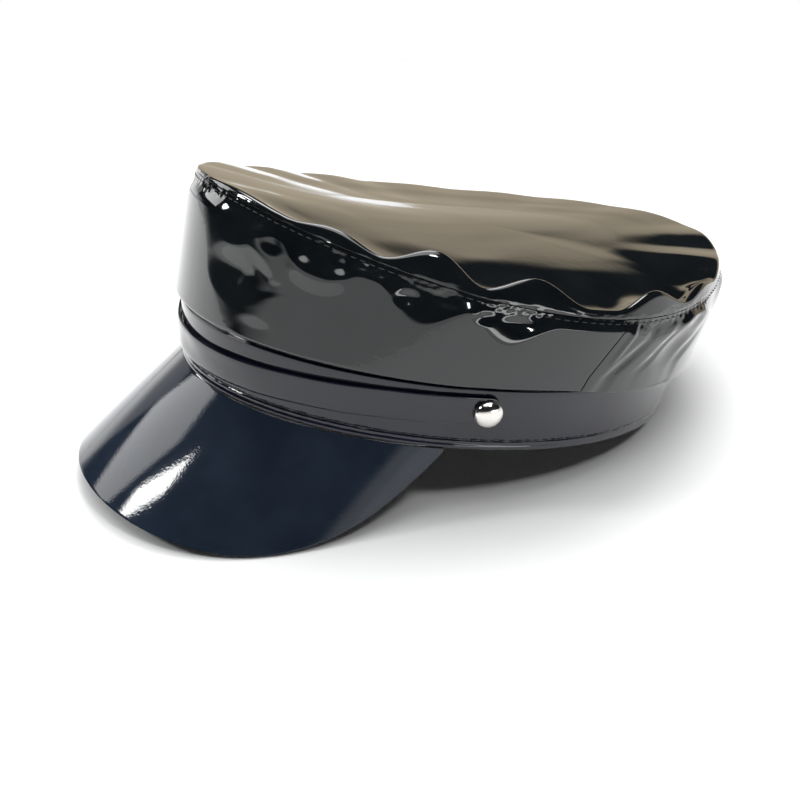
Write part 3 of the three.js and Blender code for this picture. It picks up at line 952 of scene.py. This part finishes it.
def toward(turn, rise):
    """The direction that a turn round the cap and a rise above the table give, in degrees."""
    t, r = math.radians(turn), math.radians(rise)
    return Vector((math.sin(t) * math.cos(r), -math.cos(t) * math.cos(r), math.sin(r)))


def table_top():
    deselect()
    bpy.ops.mesh.primitive_plane_add(size=table_size, location=(0, 0, 0))
    table = bpy.context.object
    table.name = "pale_table"
    finish, nodes, links, shader = new_finish("pale table top")
    place = nodes.new("ShaderNodeTexCoord").outputs["Object"]
    mottle = grain(nodes, links, 3, 2, place)
    tones = between(nodes, links, mottle, (0.86, 0.865, 0.865), (0.88, 0.885, 0.885))
    links.new(tones, shader.inputs["Base Color"])
    shader.inputs["Roughness"].default_value = 0.7
    shader.inputs["Specular IOR Level"].default_value = 0.2
    dress(table, finish)


def soft_panel(name, turn, rise, distance, wide, tall, power, lean):
    """A lit panel that faces the cap, turned by its lean about the line between them."""
    deselect()
    place = toward(turn, rise) * distance
    aim = (-place).to_track_quat("-Z", "Y") @ Quaternion((0, 0, 1), math.radians(lean))
    bpy.ops.object.light_add(type="AREA", location=place, rotation=aim.to_euler())
    lamp = bpy.context.object
    lamp.name = name
    lamp.data.shape = "RECTANGLE"
    lamp.data.size = wide
    lamp.data.size_y = tall
    lamp.data.energy = power


def world_glow():
    """Room light by direction: a pale floor and skyline with a dark doorway in front, a warm wall behind the
    cap, a soft glow overhead and a bright one behind."""
    world = bpy.data.worlds.new("soft studio")
    bpy.context.scene.world = world
    world.use_nodes = True
    nodes, links = world.node_tree.nodes, world.node_tree.links
    light = nodes["Background"]
    direction = nodes.new("ShaderNodeTexCoord").outputs["Generated"]
    split = nodes.new("ShaderNodeSeparateXYZ")
    links.new(direction, split.inputs["Vector"])

    def ease(value, low, high):
        """0 at the low value and 1 at the high one."""
        step = nodes.new("ShaderNodeMapRange")
        step.interpolation_type = "SMOOTHSTEP"
        step.inputs["From Min"].default_value = low
        step.inputs["From Max"].default_value = high
        links.new(value, step.inputs["Value"])
        return step.outputs["Result"]

    def rising(low, high):
        """0 at the low rise above the table and 1 at the high one, in degrees."""
        return ease(split.outputs["Z"], math.sin(math.radians(low)), math.sin(math.radians(high)))

    def facing(turn, rise, low, high):
        """0 at the low angle from a direction and 1 at the high one, in degrees."""
        dot = nodes.new("ShaderNodeVectorMath")
        dot.operation = "DOT_PRODUCT"
        dot.inputs[1].default_value = toward(turn, rise)
        links.new(direction, dot.inputs[0])
        return ease(dot.outputs["Value"], math.cos(math.radians(low)), math.cos(math.radians(high)))

    def times(a, b):
        product = nodes.new("ShaderNodeMath")
        product.operation = "MULTIPLY"
        links.new(a, product.inputs[0])
        links.new(b, product.inputs[1])
        return product.outputs["Value"]

    def layer(under, over, mask):
        mix = nodes.new("ShaderNodeMix")
        mix.data_type = "RGBA"
        if isinstance(under, tuple):
            mix.inputs["A"].default_value = (*under, 1)
        else:
            links.new(under, mix.inputs["A"])
        mix.inputs["B"].default_value = (*over, 1)
        links.new(mask, mix.inputs["Factor"])
        return mix.outputs["Result"]

    doorway = nodes.new("ShaderNodeMath")
    doorway.operation = "SUBTRACT"
    doorway.use_clamp = True
    links.new(rising(11, 3), doorway.inputs[0])
    links.new(facing(-32, -3, 36, 22), doorway.inputs[1])
    room = layer(dim_room, skyline, doorway.outputs["Value"])
    room = layer(room, warm_wall, times(facing(-136, 0, 50, 42), rising(16, 9)))
    room = layer(room, overhead_glow, rising(58, 66))
    room = layer(room, glow_behind, facing(-130, 58, 22, 12))
    room = layer(room, pale_floor, rising(-5, -7))
    links.new(room, light.inputs["Color"])


def camera_at_photo():
    right = Vector((math.cos(camera_turn), math.sin(camera_turn), 0))
    back = toward(math.degrees(camera_turn), math.degrees(camera_rise))
    up = back.cross(right)
    turned_right = right * math.cos(camera_roll) + up * math.sin(camera_roll)
    turned_up = up * math.cos(camera_roll) - right * math.sin(camera_roll)
    bpy.ops.object.camera_add()
    camera = bpy.context.object
    camera.name = "camera at the photograph's angle"
    camera.matrix_world = Matrix.Translation(Vector(cap_origin) + back * camera_distance) @ Matrix(
        (turned_right, turned_up, back)).transposed().to_4x4()
    camera.data.sensor_width = 36
    camera.data.lens = 46.17
    camera.data.shift_x = -0.0387
    camera.data.shift_y = -0.0522
    camera.data.clip_start = 0.01
    bpy.context.scene.camera = camera


table_top()
world_glow()
for panel in panels:
    soft_panel(**panel)
camera_at_photo()
bpy.context.scene.view_settings.view_transform = "Standard"
